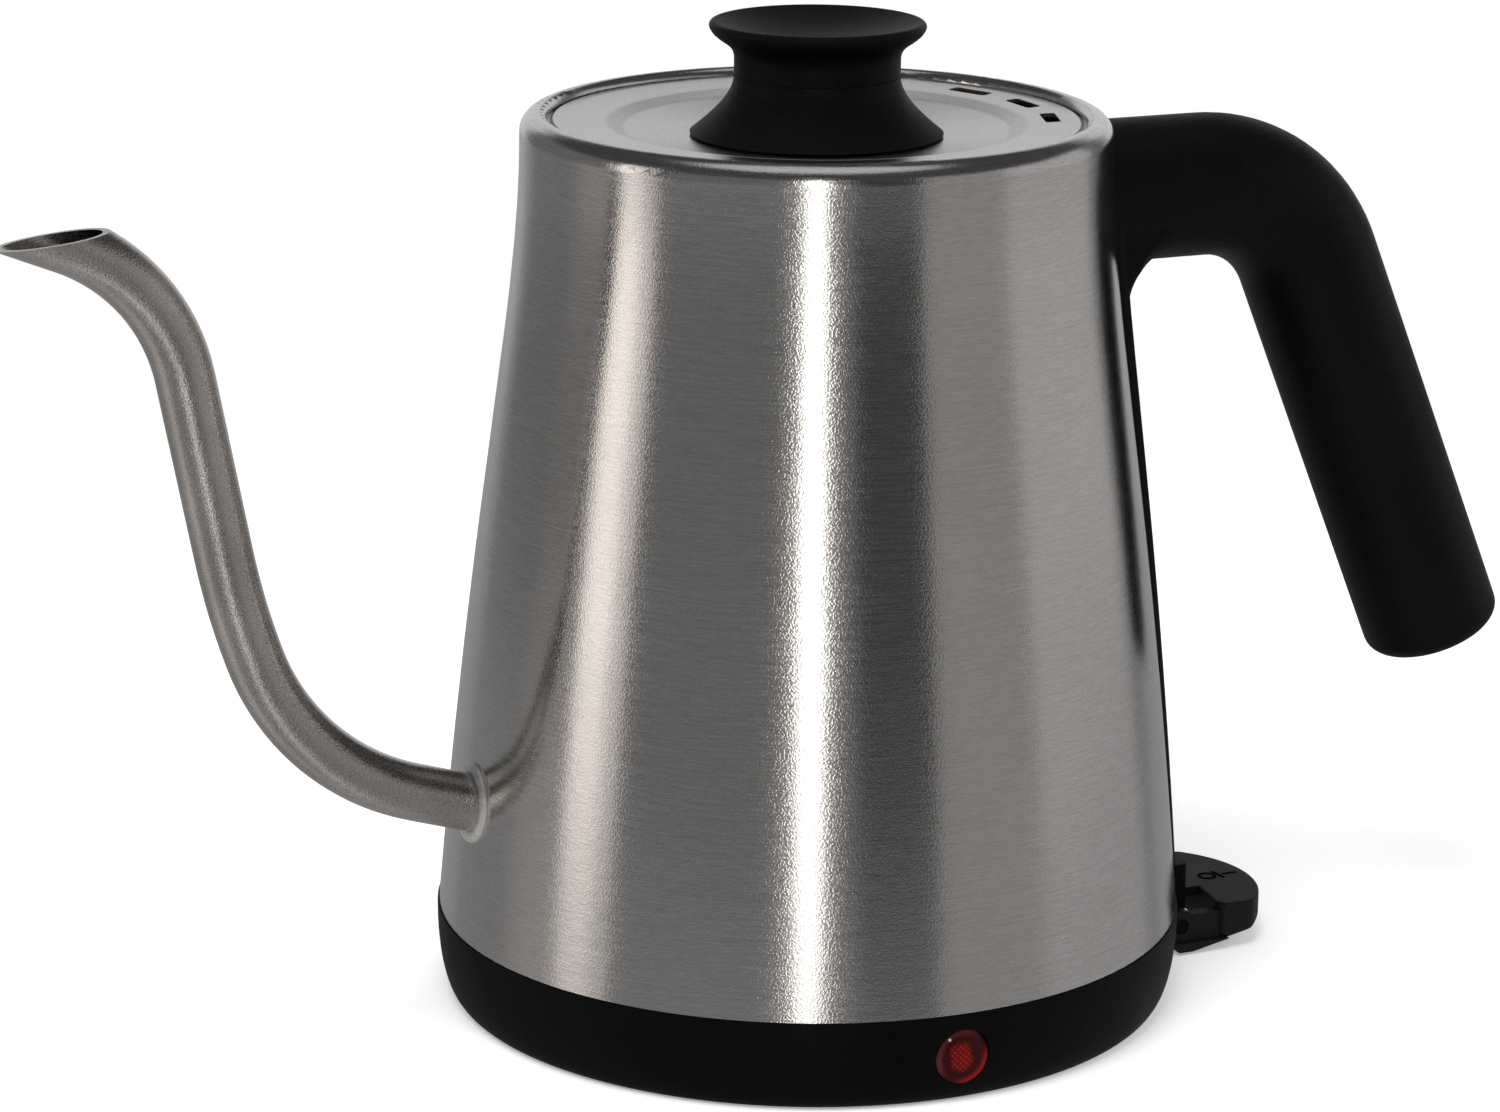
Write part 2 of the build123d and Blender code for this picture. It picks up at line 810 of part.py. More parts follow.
def make_switch_lever():
    paddle = Pos(0, 0, paddle_low_z) * extrude(paddle_outline(0), paddle_top_z - paddle_low_z)
    paddle = fillet(paddle.edges().group_by(Axis.Z)[-1], paddle_round)
    paddle -= under_lever()
    paddle = fillet(paddle.faces().sort_by(Axis.Z)[0].edges(), paddle_foot_round)
    arm_top = paddle_top_z - paddle_wall
    lever = paddle - extrude(paddle_outline(paddle_wall), arm_top)
    back_end_x = paddle_in_r + 2 * paddle_wall
    lever -= block(boss_end_x, back_end_x, arm_in, 0, paddle_low_z + paddle_back_rise)
    arm_end_x = paddle_in_r + paddle_wall / 2
    foot_start_x = lever_pivot_x - arm_back
    foot_width = paddle_half - arm_in
    for side in (1, -1):
        y = side * (arm_in + arm_thick / 2)
        lever += beside_boss(lever_pivot_x, arm_end_x, side, arm_thick, paddle_foot_z, arm_top)
        foot = beside_boss(foot_start_x, arm_end_x, side, foot_width, paddle_low_z, paddle_foot_z)
        lever += foot - under_lever()
        lever += Pos(lever_pivot_x, y, lever_pivot_z) * Rot(90, 0, 0) * Cylinder(lever_eye_r, arm_thick)
    lever += block(tail_end_x, arm_end_x, tail_half, tail_low_z, paddle_top_z)
    return lever - cross_rod(lever_pin_r + running_fit, 2 * boss_half, lever_pivot_x, lever_pivot_z)


def make_lever_pin():
    half = arm_in + arm_thick - slip_gap
    return cross_rod(lever_pin_r, half, lever_pivot_x, lever_pivot_z)


def make_switch_block():
    base = block(switch_x0, switch_x1, switch_half, switch_z0, switch_z1)
    base += block(switch_x0, switch_x0 + switch_post, switch_half, switch_z1, blade_z)
    return base - rod(plunger_r + running_fit, switch_z0, switch_z1, plunger_x)


def make_switch_plunger():
    stem = rod(plunger_r, paddle_top_z + move_gap, plunger_head_z, plunger_x)
    return stem + rod(plunger_head_r, plunger_head_z, plunger_head_z + plunger_head, plunger_x)


def make_contact_blade():
    return block(switch_x0, switch_x1, blade_half, blade_z, blade_z + blade_thick)


def make_steam_disc():
    middle = Pos(switch_x1 + steam_disc_thick / 2, 0, (switch_z0 + switch_z1) / 2)
    return middle * Rot(0, 90, 0) * Cylinder(steam_disc_r, steam_disc_thick)


# Handle and steam path


def grip_path():
    """Centre line of the grip from inside the body to its free end."""
    root = Line((body_top_r - sheet, grip_z), (grip_bend_x, grip_z))
    bend = JernArc(root @ 1, root % 1, grip_bend_r, -grip_turn)
    slope = PolarLine(bend @ 1, grip_length, -grip_turn)
    return Plane.XZ * (root + bend + slope)


def grip_bar(radius):
    """Round bar along the grip's centre line."""
    path = grip_path()
    return sweep(Plane(path @ 0, z_dir=path % 0) * Circle(radius), path)


def grip_end():
    """Plane on the grip's free end, looking out of it."""
    path = grip_path()
    return Plane(path @ 1, z_dir=path % 1)


def bracket_foot(gap):
    """Curved foot of the bracket on the wall, or the pocket for it when a gap is given."""
    half_height = bracket_height / 2 + gap
    low = grip_z - half_height
    return wall_patch(0, bracket_sheet + gap, bracket_half + gap, low, grip_z + half_height)


def tongue(gap):
    """Tongue of the bracket that reaches into the grip."""
    half_thick = tongue_thick / 2 + gap
    low = grip_z - half_thick
    bar = block(body_top_r, tongue_end_x + gap, tongue_half + gap, low, grip_z + half_thick)
    return bar - body_filled(bracket_sheet / 2)


def make_handle_bracket():
    bracket = (bracket_foot(0) - body_filled(weld_gap)) + tongue(0)
    hole_r = handle_screw_r + running_fit
    return bracket - rod(hole_r, grip_z - grip_r, grip_z + grip_r, handle_screw_x)


def grip_disc(x, drop):
    """Round section of the grip at a given x, let down by a given drop."""
    return Plane((x, 0, grip_z - drop), x_dir=(0, 1, 0), z_dir=(1, 0, 0)) * Circle(grip_r)


def grip_let_down(face_x):
    """The grip's round section, let down along an arc as it nears the spine's face."""
    discs = []
    for step in range(7):
        angle = radians(let_down_arc * step / 6)
        discs.append(grip_disc(face_x + let_down_r * (1 - cos(angle)), let_down_r * (1 - sin(angle))))
    discs.append(grip_disc(face_x + let_down_r + let_down_tail, -let_down_sink))
    return extrude(discs[0], -let_down_r) + loft(discs)


def spine_flare():
    """Rounded corner under the grip, turned about the body's axis and trimmed to the grip's section."""
    top = grip_z - grip_r + spine_fillet_rise
    low = top - spine_fillet
    face_r = wall_r(low) + spine_proud - slip_gap
    end_r = face_r + spine_fillet
    corner = RadiusArc((face_r, low), (end_r, top), spine_fillet)
    back = Polyline(
        (end_r, top),
        (end_r, grip_z),
        (body_top_r, grip_z),
        (body_top_r, low),
        (face_r, low),
    )
    half = spine_half - corner_inset
    flare = turn(corner, back) & block(0, 2 * body_foot_r, half, 0, grip_z)
    on_sides = flare.edges().filter_by(lambda e: abs(abs(e.center().Y) - half) < seat_gap)
    outer = on_sides.filter_by(lambda e: e.center().Z > low and hypot(e.center().X, half) > face_r)
    return fillet(outer, spine_edge_round) & grip_let_down(face_r)


def make_handle_grip():
    grip = grip_bar(grip_r)
    rim = grip.faces().sort_by_distance(grip_end().origin)[0].edges()
    grip = fillet(rim, grip_end_round)
    spine = wall_patch(seat_gap, spine_proud, spine_half, body_foot_z, grip_z)
    long_edges = spine.edges().filter_by(lambda e: e.length > grip_z / 2).group_by(Axis.X)[-1]
    spine = fillet(long_edges, spine_edge_round)
    grip = grip + spine + spine_flare() - body_filled(seat_gap)
    hollow = grip_bar(grip_r - grip_wall) - block(0, grip_hollow_x, grip_r, 0, 2 * grip_z)
    hollow -= rod(handle_post_r, grip_z - grip_r, grip_z, handle_screw_x)
    grip -= hollow
    grip -= tongue(slip_gap)
    grip -= bracket_foot(slip_gap)
    grip -= rod(handle_screw_r + slip_gap, grip_z - 2 * grip_r, grip_z, handle_screw_x)
    head_hole_r = handle_screw_head_r + slip_gap
    grip -= rod(head_hole_r, grip_z - 2 * grip_r, handle_screw_top_z, handle_screw_x)
    duct_top = steam_z + duct_half + slip_gap
    return grip - wall_patch(0, duct_depth + slip_gap, duct_half + slip_gap, 0, duct_top)


def make_handle_end_plug():
    radius = grip_r - grip_wall - seat_gap
    return grip_end() * Pos(0, 0, -plug_depth / 2) * Cylinder(radius, plug_depth)


def make_handle_screw():
    head_low = handle_screw_top_z - handle_screw_head
    screw = rod(handle_screw_head_r, head_low, handle_screw_top_z, handle_screw_x)
    screw += rod(handle_screw_r, handle_screw_top_z, grip_z + tongue_thick, handle_screw_x)
    slot = Box(handle_screw_slot, 2 * handle_screw_head_r, handle_screw_head)
    return screw - Pos(handle_screw_x, 0, head_low) * slot


def steam_rod(radius, reach):
    """Bar along x through the steam hole, up to a given distance outside the wall."""
    start = wall_r(steam_z) - sheet
    length = reach + sheet
    return Pos(start + length / 2, 0, steam_z) * Rot(0, 90, 0) * Cylinder(radius, length)


def make_steam_duct():
    inner = slip_gap + seat_gap
    outside = wall_patch(inner, duct_depth, duct_half, 0, steam_z + duct_half)
    half = duct_half - duct_wall
    inside = wall_patch(inner + duct_wall, duct_depth - duct_wall, half, 0, steam_z + half)
    duct = outside - inside
    return duct - steam_rod(steam_bore_r + steam_seal_wall + seat_gap, duct_depth - duct_wall)


def make_steam_seal():
    reach = duct_depth - duct_wall - seat_gap
    return steam_rod(steam_bore_r + steam_seal_wall, reach) - steam_rod(steam_bore_r, reach)


# Lid and knob


def make_lid_plate():
    edge = lid_r - lid_sheet
    band_z = lid_top_z - lid_band_drop
    plate = lathe(
        (0, lid_centre_z),
        (lid_centre_r, lid_centre_z),
        (lid_step_r, lid_step_z),
        (lid_band_in_r, band_z),
        (lid_band_out_r, lid_top_z),
        (edge + lid_sheet / 2, lid_top_z),
        (lid_r, lid_top_z - lid_sheet / 2),
        (lid_r, lid_seat_z),
        (edge, lid_seat_z),
        (edge, lid_top_z - lid_sheet),
        (lid_band_out_r, lid_top_z - lid_sheet),
        (lid_band_in_r, band_z - lid_sheet),
        (lid_step_r, lid_step_z - lid_sheet),
        (lid_centre_r, lid_centre_z - lid_sheet),
        (0, lid_centre_z - lid_sheet),
    )
    plate -= rod(knob_screw_r + slip_gap, 0, lid_top_z)
    for k in range(slot_count):
        angle = slot_turn + (k - (slot_count - 1) / 2) * slot_spread
        slot = extrude(RectangleRounded(slot_width, slot_length, slot_corner), 2 * lid_top_z)
        plate -= Rot(0, 0, angle) * Pos(slot_ring_r, 0, 0) * slot
    return plate


def make_lid_pan():
    """Cup under the plate, whose rim meets the sloping underside of the plate's band."""
    inside_r = pan_r - lid_sheet
    slope = lid_band_drop / (lid_band_out_r - lid_band_in_r)
    top = lid_top_z - lid_sheet - seat_gap - slope * (lid_band_out_r - inside_r)
    bottom = lid_seat_z - pan_depth
    pan = rod(pan_r, bottom, top) - rod(inside_r, bottom + lid_sheet, top)
    for x, y in around(pan_hole_count, pan_hole_ring_r, 0):
        pan -= rod(pan_hole_r, bottom, bottom + lid_sheet, x, y)
    return pan


def make_lid_seal():
    low = seal_z - seal_height / 2
    high = seal_z + seal_height / 2
    outer = neck_r - move_gap
    ring = rod(outer, low, high)
    ring = fillet(ring.edges(), seal_height / 4)
    return ring - rod(pan_r + seat_gap, low, high)


def make_knob_base():
    foot_z = lid_centre_z + knob_edge
    flare = Bezier(
        (knob_foot_r, foot_z),
        (knob_foot_r - knob_foot_pull_in, foot_z + knob_foot_pull_up),
        (knob_waist_r, knob_seam_z - knob_waist_pull),
        (knob_waist_r, knob_seam_z),
    )
    rest = Polyline(
        (knob_waist_r, knob_seam_z),
        (cap_spigot_r + seat_gap, knob_seam_z),
        (cap_spigot_r + seat_gap, knob_seam_z - cap_spigot - seat_gap),
        (insert_r, knob_seam_z - cap_spigot - seat_gap),
        (insert_r, lid_centre_z),
        (knob_foot_r - knob_edge, lid_centre_z),
        (knob_foot_r, foot_z),
    )
    return turn(flare, rest)


def make_knob_cap():
    """Flared cap whose side runs on into a rolled lip, and the lip into a shallow dish."""
    seam = knob_seam_z + seat_gap
    lean = degrees(atan2(knob_rim_pull_in, knob_rim_pull_down))
    lip_middle = (knob_rim_r - knob_lip, knob_top_z - knob_lip)
    lip = CenterArc(lip_middle, knob_lip, -lean, lean + 90 + knob_dish_slope)
    lip_start = lip @ 0
    dish_edge = lip @ 1
    flare = Bezier(
        (knob_waist_r, knob_flare_z),
        (knob_waist_r, knob_flare_z + knob_neck_pull),
        (lip_start.X - knob_rim_pull_in, lip_start.Y - knob_rim_pull_down),
        (lip_start.X, lip_start.Y),
    )
    dish_curve_r = dish_edge.X / sin(radians(knob_dish_slope))
    dish_z = dish_edge.Y - dish_curve_r * (1 - cos(radians(knob_dish_slope)))
    dish = RadiusArc((dish_edge.X, dish_edge.Y), (0, dish_z), dish_curve_r)
    rest = Polyline(
        (0, dish_z),
        (0, seam - cap_spigot),
        (cap_spigot_r, seam - cap_spigot),
        (cap_spigot_r, seam),
        (knob_waist_r, seam),
        (knob_waist_r, knob_flare_z),
    )
    return turn(flare, lip, dish, rest)


def make_knob_insert():
    top = lid_centre_z + insert_length
    insert = rod(insert_r - pin_fit, lid_centre_z, top)
    return insert - rod(knob_screw_r + running_fit, lid_centre_z, top - insert_end)


def make_knob_washer():
    top = lid_centre_z - lid_sheet
    washer = rod(knob_washer_r, top - knob_washer_thick, top)
    return washer - rod(knob_screw_r + slip_gap, 0, lid_top_z)


def make_knob_screw():
    seat = lid_centre_z - lid_sheet - knob_washer_thick
    screw = rod(knob_screw_head_r, seat - knob_screw_head, seat)
    screw += rod(knob_screw_r, seat, lid_centre_z + insert_length - insert_end - tip_gap)
    slot = Box(knob_screw_slot, 2 * knob_screw_head_r, knob_screw_head)
    return screw - Pos(0, 0, seat - knob_screw_head) * slot


parts = {
    "body_shell": make_body_shell(),
    "spout_tube": make_spout_tube(),
    "spout_collar": make_spout_collar(),
    "vessel_floor": make_vessel_floor(),
    "floor_posts": make_floor_posts(),
    "heater_plate": make_heater_plate(),
    "heating_element": make_heating_element(),
    "element_terminals": make_element_terminals(),
    "element_wires": make_element_wires(),
    "heater_studs": make_heater_studs(),
    "control_nuts": make_control_nuts(),
    "control_body": make_control_body(),
    "overheat_discs": make_overheat_discs(),
    "coupler_socket": make_coupler_socket(),
    "earth_pin": make_earth_pin(),
    "live_contact": make_contact(inner_contact_r, 1),
    "neutral_contact": make_contact(outer_contact_r, -1),
    "base_ring": make_base_ring(),
    "base_seal": make_base_seal(),
    "base_cover": make_base_cover(),
    "base_screws": make_base_screws(),
    "indicator_lens": make_indicator_lens(),
    "indicator_lamp": make_indicator_lamp(),
    "lamp_leads": make_lamp_leads(),
    "switch_lever": make_switch_lever(),
    "lever_pin": make_lever_pin(),
    "switch_block": make_switch_block(),
    "switch_plunger": make_switch_plunger(),
    "contact_blade": make_contact_blade(),
    "steam_disc": make_steam_disc(),
    "handle_grip": make_handle_grip(),
    "handle_end_plug": make_handle_end_plug(),
    "handle_bracket": make_handle_bracket(),
    "handle_screw": make_handle_screw(),
    "steam_duct": make_steam_duct(),
    "steam_seal": make_steam_seal(),
    "lid_plate": make_lid_plate(),
    "lid_pan": make_lid_pan(),
    "lid_seal": make_lid_seal(),
    "knob_base": make_knob_base(),
    "knob_cap": make_knob_cap(),
    "knob_insert": make_knob_insert(),
    "knob_washer": make_knob_washer(),
    "knob_screw": make_knob_screw(),
}

os.makedirs("parts", exist_ok=True)
for name, shape in parts.items():
    export_step(shape, f"parts/{name}.step")
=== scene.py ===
import json
from math import cos, pi, radians, sin

import bpy
import numpy as np
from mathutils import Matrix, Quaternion, Vector


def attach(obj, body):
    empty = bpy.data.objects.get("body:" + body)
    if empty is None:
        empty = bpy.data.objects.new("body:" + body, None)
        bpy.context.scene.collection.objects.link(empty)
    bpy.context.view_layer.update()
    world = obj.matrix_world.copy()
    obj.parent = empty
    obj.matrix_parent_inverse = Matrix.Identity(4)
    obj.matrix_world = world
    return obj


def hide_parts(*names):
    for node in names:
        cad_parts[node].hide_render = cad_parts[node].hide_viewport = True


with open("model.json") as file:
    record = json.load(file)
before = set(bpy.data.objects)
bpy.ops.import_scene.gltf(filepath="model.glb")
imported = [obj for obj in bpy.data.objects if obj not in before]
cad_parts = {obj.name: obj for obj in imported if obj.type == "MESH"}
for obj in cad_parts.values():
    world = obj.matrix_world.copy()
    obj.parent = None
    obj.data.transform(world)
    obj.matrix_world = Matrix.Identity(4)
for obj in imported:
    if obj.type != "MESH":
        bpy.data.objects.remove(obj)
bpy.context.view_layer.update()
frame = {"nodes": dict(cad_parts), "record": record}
nodes = frame["nodes"]
scene = bpy.context.scene
mm = 0.001

# Camera, as fitted to the rim and base ellipses of the picture
camera_at = Vector((-0.34837, -0.79138, 0.32138))
camera_look = Vector((0.37672, 0.88754, -0.26522))
camera_roll = radians(0.502)
camera_lens = 115.13
camera_sensor = 36.0
camera_near = 0.01

# Studio as the steel mirrors it: each card's bearing, half width and soft edge in degrees, and colour
room_level = 0.155
studio_cards = {
    "warm_table": (160.0, 14.0, 10.0, (0.55, 0.49, 0.44)),
    "backdrop": (66.0, 30.0, 8.0, (0.66, 0.66, 0.66)),
    "table_back": (66.0, 40.0, 1.5, (0.34, 0.34, 0.34)),
    "side_wall": (-28.0, 45.0, 1.2, (0.31, 0.30, 0.295)),
    "side_window": (-11.0, 25.0, 3.0, (0.47, 0.46, 0.455)),
    "black_flag": (-86.0, 12.5, 1.5, (0.055, 0.055, 0.055)),
    "strip_spill": (-114.0, 8.0, 5.0, (0.30, 0.28, 0.26)),
    "strip_light": (-113.5, 3.4, 1.6, (3.8, 3.7, 3.5)),
    "warm_edge": (179.0, 4.5, 1.2, (0.78, 0.72, 0.67)),
    "warm_card": (170.5, 6.0, 2.5, (1.42, 1.31, 1.20)),
}
low_cards = ("warm_table", "table_back")  # seen only under the horizon
low_start = -0.05
low_end = -0.28
# Rise of the view where each level starts and is full, the level, and how far it hides the cards
dark_upper = (0.33, 0.50, 0.06, 1.0)
overhead = (0.86, 0.95, 0.55, 1.0)
table = (-0.10, -0.24, 0.28, 0.7)
fill_level = 0.5
floor_radius = 0.45
floor_corners = 96
floor_sink = 0.05 * mm  # keeps it just under the foot of the base
floor_tone = 0.85
floor_glow = 0.3
soft_box_aim = Vector((0, 0, 0.08))
soft_boxes = {  # place, size and power
    "top_soft_box": (Vector((-0.35, -0.25, 0.95)), 0.7, 9.0),
    "side_soft_box": (Vector((0.9, -0.5, 0.6)), 0.5, 3.0),
}

# Indicator; the lit patch and the painted glint are measured in lens radii from its middle
lens_z = 9.0 * mm
lens_radius = 5.1 * mm
diamond_pitch = 1.1 * mm
patch_x = -0.06
patch_half_width = 0.40
patch_half_height = 0.50
painted_glint_x = -0.50
painted_glint_z = 0.68

# Lid, from its middle: where painted shade of the gap darkens the edge, and where the duller step starts and
# ends
lid_painted_gap_shade = (47.9 * mm, 48.3 * mm)
lid_step_start = (34.8 * mm, 36.2 * mm)
lid_step_end = (37.6 * mm, 39.0 * mm)
lid_step_dullness = 0.27

# Weld at the spout's root: the outline of the steel wall as radius and height, and the root's axis
wall_outline = np.array([(70.0, 17.3), (62.69, 102.3), (54.2, 131.2), (54.2, 164.2)]) * mm
wall_samples = 400
root_at = np.array([-66.0, 0.0, 42.8]) * mm
root_heading = radians(17.2)
bead_radius = 6.2 * mm
bead_half_width = 1.1 * mm
bead_half_height = 0.75 * mm
bead_lift = 0.25 * mm
bead_ripples = 34
bead_ripple_height = 0.05 * mm
bead_steps = 6 * bead_ripples
bead_sides = 32
bead_rounds = 8  # of sliding its points onto the wall

# Marks on the switch lever: off ring, slash and on bar, along the lever
mark_top_z = 9.5 * mm
mark_half_width = 0.38 * mm
mark_height = 0.12 * mm
mark_sides = 16
ring_steps = 64
bar_rows = 16
off_ring = (86.3 * mm, 1.55 * mm)  # x of its middle, radius
slash = ((88.5 * mm, 1.8 * mm), (89.0 * mm, -1.8 * mm))
on_bar = ((90.0 * mm, 0.0), (92.6 * mm, 0.0))


class Wire:
    """A shader value; arithmetic on it adds Math nodes."""

    def __init__(self, sheet, socket):
        self.sheet = sheet
        self.socket = socket

    def math(self, operation, *values):
        return self.sheet.node("ShaderNodeMath", {"operation": operation}, dict(enumerate(values)))

    def __add__(self, other):
        return self.math("ADD", self, other)

    def __radd__(self, other):
        return self.math("ADD", other, self)

    def __sub__(self, other):
        return self.math("SUBTRACT", self, other)

    def __rsub__(self, other):
        return self.math("SUBTRACT", other, self)

    def __mul__(self, other):
        return self.math("MULTIPLY", self, other)

    def __rmul__(self, other):
        return self.math("MULTIPLY", other, self)

    def __truediv__(self, other):
        return self.math("DIVIDE", self, other)

    def __pow__(self, other):
        return self.math("POWER", self, other)


class Sheet:
    """The nodes of one material, or of the world."""

    def __init__(self, tree):
        self.tree = tree
        tree.nodes.clear()

    def node(self, kind, settings=None, sockets=None, output=0):
        """Adds a node: its settings first, then the values or links of its sockets."""
        node = self.tree.nodes.new(kind)
        for key, value in (settings or {}).items():
            setattr(node, key, value)
        for key, value in (sockets or {}).items():
            if isinstance(value, Wire):
                self.tree.links.new(value.socket, node.inputs[key])
            else:
                node.inputs[key].default_value = value
        return Wire(self, node.outputs[output]) if node.outputs else None

    def place(self):
        return self.node("ShaderNodeTexCoord", output="Object")

    def axis(self, vector, name):
        return self.node("ShaderNodeSeparateXYZ", sockets={0: vector}, output=name)

    def noise(self, scale, detail=2.0):
        """Noise spread over 0 to 1, with so many cells in a metre along x, y and z."""
        sockets = {0: self.place(), 1: scale}
        stretched = self.node("ShaderNodeVectorMath", {"operation": "MULTIPLY"}, sockets)
        sockets = {"Vector": stretched, "Scale": 1.0, "Detail": detail}
        return self.ease(self.node("ShaderNodeTexNoise", sockets=sockets), 0.3, 0.7)

    def grain(self, cells, detail=2.0):
        """Noise with the same number of cells along x, y and z."""
        return self.noise((cells, cells, cells), detail)

    def ease(self, value, start, end, low=0.0, high=1.0):
        """Eases from low to high as value goes from start to end."""
        sockets = {0: value, 1: start, 2: end, 3: low, 4: high}
        return self.node("ShaderNodeMapRange", {"interpolation_type": "SMOOTHSTEP"}, sockets)

    def tint(self, low, high, factor):
        """Colour between low and high."""
        sockets = {"Factor": factor, 6: low, 7: high}
        return self.node("ShaderNodeMix", {"data_type": "RGBA"}, sockets, output=2)

    def bump(self, height, depth):
        return self.node("ShaderNodeBump", sockets={"Height": height, "Distance": depth})


def colour(red, green, blue):
    return (red, green, blue, 1.0)


def grey(level):
    return colour(level, level, level)


def make_finish(name, vary, **constants):
    """Material whose varying sockets come from vary(sheet), the rest being set on the shader."""
    material = bpy.data.materials.new(name)
    material.use_nodes = True
    sheet = Sheet(material.node_tree)
    sockets = {key.replace("_", " "): value for key, value in constants.items()}
    shader = sheet.node("ShaderNodeBsdfPrincipled", sockets={**sockets, **vary(sheet)})
    sheet.node("ShaderNodeOutputMaterial", sockets={"Surface": shader})
    return material


# Finishes


def from_axis(sheet):
    """Distance from the body's upright axis."""
    place = sheet.place()
    return (sheet.axis(place, "X") ** 2 + sheet.axis(place, "Y") ** 2) ** 0.5


def brushed_body(sheet):
    """Scratches round the body: noise drawn out along x and y, and thin along z."""
    scratches = sheet.noise((110, 110, 4200), 3)
    hairs = sheet.noise((420, 420, 5000), 1)
    specks = sheet.noise((2600, 2600, 3000), 1)
    clouds = sheet.noise((16, 16, 22), 2)
    tone = 0.3 * scratches + 0.3 * hairs + 0.2 * specks + 0.2 * clouds
    return {
        "Base Color": sheet.tint(colour(0.52, 0.51, 0.505), colour(0.75, 0.74, 0.735), tone),
        "Roughness": 0.13 + 0.05 * scratches,
        "Normal": sheet.bump(0.14 * scratches + 0.12 * hairs + specks**2, 8e-6),
    }


def satin_spout(sheet):
    """Blasted satin: fine even grain, with slow drift in tone."""
    grain = sheet.grain(3200)
    drift = sheet.grain(60)
    tone = 0.6 * grain + 0.4 * drift
    return {
        "Base Color": sheet.tint(colour(0.50, 0.47, 0.45), colour(0.72, 0.69, 0.66), tone),
        "Roughness": 0.14 + 0.12 * grain,
        "Normal": sheet.bump(grain, 2.3e-5),
    }


def satin_lid(sheet):
    """Light satin steel with faint rings about the middle, a duller step, and painted shade of the gap on
    its edge in the mouth.
    """
    across = from_axis(sheet)
    sockets = {"W": across, "Scale": 2600.0, "Detail": 3.0}
    rings = sheet.node("ShaderNodeTexNoise", {"noise_dimensions": "1D"}, sockets)
    grain = sheet.grain(1800)
    steel = sheet.tint(colour(0.56, 0.55, 0.545), colour(0.76, 0.75, 0.745), 0.6 * rings + 0.4 * grain)
    # Painted shade: the lid's edge turns near black where it drops into the gap of the mouth.
    edge = sheet.ease(across, *lid_painted_gap_shade)
    step = sheet.ease(across, *lid_step_start) * sheet.ease(across, *lid_step_end, 1.0, 0.0)
    return {
        "Base Color": sheet.tint(steel, grey(0.03), edge),
        "Roughness": 0.20 + 0.08 * rings + 0.2 * step,
        "Metallic": 1.0 - lid_step_dullness * step,
        "Normal": sheet.bump(rings + grain, 3e-6),
    }


def pale_weld(sheet):
    """Pale weld metal, satin and a little cloudy."""
    clouds = sheet.grain(500, 3)
    return {
        "Base Color": sheet.tint(grey(0.88), grey(0.97), clouds),
        "Roughness": 0.5 + 0.14 * clouds,
    }


def plain_steel(sheet):
    """Plain sheet steel, with cloudy tone and gloss."""
    grain = sheet.grain(900, 3)
    return {
        "Base Color": sheet.tint(grey(0.45), grey(0.62), grain),
        "Roughness": 0.28 + 0.2 * grain,
    }


def moulded(low, high, rough, grain_size, depth):
    """Moulded plastic: fine spark texture, with slow drift in tone and gloss."""

    def vary(sheet):
        grain = sheet.grain(1 / grain_size)
        drift = sheet.grain(35)
        return {
            "Base Color": sheet.tint(low, high, 0.5 * grain + 0.5 * drift),
            "Roughness": rough + 0.12 * drift - 0.05 * grain,
            "Normal": sheet.bump(grain, depth),
        }

    return vary


def worked_metal(low, high, rough):
    """Plain metal with drawn streaks and patches."""

    def vary(sheet):
        streaks = sheet.noise((300, 300, 2500), 2)
        patches = sheet.grain(90, 3)
        return {
            "Base Color": sheet.tint(low, high, 0.5 * streaks + 0.5 * patches),
            "Roughness": rough + 0.15 * patches,
        }

    return vary


def soft_skin(low, high):
    """Silicone, sleeves and the lamp: cloudy, dull and a little uneven."""

    def vary(sheet):
        clouds = sheet.grain(120, 3)
        return {
            "Base Color": sheet.tint(low, high, clouds),
            "Roughness": 0.55 + 0.2 * clouds,
        }

    return vary


def red_lens(sheet):
    """Red lens: a diamond lattice glows behind its middle, in a dark red body with painted light on its rim
    and a painted glint.
    """
    place = sheet.place()
    x = sheet.axis(place, "X") / lens_radius
    z = (sheet.axis(place, "Z") - lens_z) / lens_radius
    pitch = diamond_pitch / lens_radius
    up = (x + z) / pitch
    down = (x - z) / pitch
    lattice = 4 * up.math("PINGPONG", up, 0.5) * down.math("PINGPONG", down, 0.5)
    out = (x * x + z * z) ** 0.5
    patch = (((x - patch_x) / patch_half_width) ** 4 + (z / patch_half_height) ** 4) ** 0.25
    lit = sheet.ease(patch + 0.3 * sheet.grain(700), 0.85, 1.3, 1.0, 0.0)
    # Painted light on the rim: a paler pink reflection towards the upper left and a brighter red crescent
    # towards the lower right.
    rim = sheet.ease(out, 0.70, 0.92)
    painted_reflection_side = sheet.ease(z - x, -0.3, 0.7)
    painted_crescent_side = sheet.ease(x - z, 0.5, 1.1)
    body = sheet.tint(colour(0.030, 0.0025, 0.0025), colour(0.10, 0.017, 0.018), rim * painted_reflection_side)
    body = sheet.tint(body, colour(0.20, 0.005, 0.006), rim * painted_crescent_side)
    # Painted glint: a small grey-white spot glows at the upper left of the lens.
    from_painted_glint = ((x - painted_glint_x) ** 2 + (z - painted_glint_z) ** 2) ** 0.5
    painted_glint = sheet.ease(from_painted_glint, 0.02, 0.08, 1.0, 0.0)
    glow = sheet.tint(grey(0.0), colour(0.38, 0.010, 0.005), lit * lattice**2)
    return {
        "Base Color": sheet.tint(body, colour(0.10, 0.004, 0.003), lit),
        "Emission Color": sheet.tint(glow, grey(0.4), painted_glint),
        "Roughness": 0.16 + 0.1 * lattice,
    }


